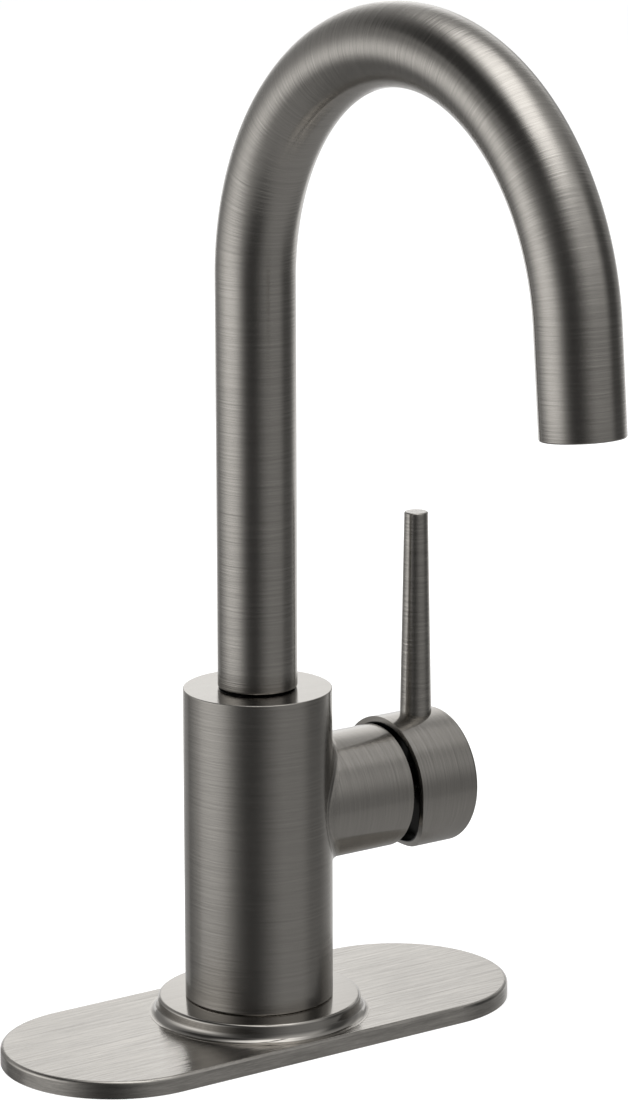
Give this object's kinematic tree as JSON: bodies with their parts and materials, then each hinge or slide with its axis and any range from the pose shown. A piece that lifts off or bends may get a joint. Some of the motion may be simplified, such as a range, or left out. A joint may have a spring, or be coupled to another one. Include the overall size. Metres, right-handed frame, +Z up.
{
  "type": "gooseneck bar faucet",
  "caption": "Bar faucet with a high arched swivel spout, a cylindrical body on a full-round deck plate, and an upright side lever for flow and temperature.",
  "frame": {"origin": "on the body's vertical axis at the top surface of the deck", "axes": "+Z up along the body, +X towards the handle and along the deck plate, -Y towards the spout's outlet"},
  "size_m": [0.159, 0.1826, 0.3635],
  "materials": {
    "plate_gunmetal": "satin",
    "ring_gunmetal": "satin",
    "body_gunmetal": "satin",
    "cover_gunmetal": "satin",
    "cap_gunmetal": "satin",
    "lever_gunmetal": "satin",
    "spout_gunmetal": "satin",
    "gasket_foam": "matte",
    "seal_rubber": "matte",
    "clamp_rubber": "matte",
    "shank_brass": "satin",
    "nut_brass": "satin",
    "tail_brass": "satin",
    "inner_brass": "satin",
    "washer_steel": "satin",
    "screw_steel": "satin",
    "pin_steel": "satin",
    "stem_steel": "satin",
    "screen_steel": "satin",
    "cartridge_plastic": "satin",
    "rotor_plastic": "satin",
    "glide_plastic": "satin",
    "aerator_plastic": "satin",
    "disc_ceramic": "polished"
  },
  "bodies": {
    "base": {"deck_plate": "plate_gunmetal", "deck_plate_gasket": "gasket_foam", "base_ring": "ring_gunmetal", "base_ring_seal": "seal_rubber", "faucet_body": "body_gunmetal", "mounting_shank": "shank_brass", "mounting_gasket": "clamp_rubber", "mounting_washer": "washer_steel", "mounting_nut": "nut_brass", "nut_jam_screws": "screw_steel", "hot_inlet_tail": "tail_brass", "cold_inlet_tail": "tail_brass", "inlet_tail_o_rings": "seal_rubber", "cartridge_housing": "cartridge_plastic", "cartridge_seals": "seal_rubber", "fixed_ceramic_disc": "disc_ceramic", "cartridge_nut": "inner_brass", "bonnet_cover": "cover_gunmetal", "spout_lock_screw": "screw_steel"},
    "spout": {"spout_tube": "spout_gunmetal", "spout_spigot": "inner_brass", "lower_glide_ring": "glide_plastic", "upper_glide_ring": "glide_plastic", "spout_o_rings": "seal_rubber", "aerator_housing": "aerator_plastic", "aerator_insert": "aerator_plastic", "aerator_screen": "screen_steel", "aerator_gasket": "seal_rubber"},
    "mixer": {"cartridge_rotor": "rotor_plastic", "stem_pivot_pin": "pin_steel"},
    "handle": {"cartridge_stem": "stem_steel", "handle_cap": "cap_gunmetal", "handle_lever": "lever_gunmetal", "handle_set_screw": "screw_steel"},
    "disc": {"moving_ceramic_disc": "disc_ceramic"}
  },
  "joints": [
    {"name": "spout_swivel", "type": "hinge", "parent": "base", "child": "spout", "pos_m": [0, 0, 0.0979], "axis": [0, 0, 1], "continuous": true},
    {"name": "temperature_turn", "type": "hinge", "parent": "base", "child": "mixer", "pos_m": [0.032, 0, 0.0631], "axis": [1, 0, 0], "range_deg": [-45, 45]},
    {"name": "flow_tilt", "type": "hinge", "parent": "mixer", "child": "handle", "pos_m": [0.032, 0, 0.0631], "axis": [0, 1, 0], "range_deg": [0, 24]},
    {"name": "disc_slide", "type": "slide", "parent": "mixer", "child": "disc", "axis": [0, 0, 1], "range_m": [0, 0.00391]}
  ],
  "couplings": [
    {"joint": "disc_slide", "follows": "flow_tilt", "m_per_rad": 0.00932}
  ]
}
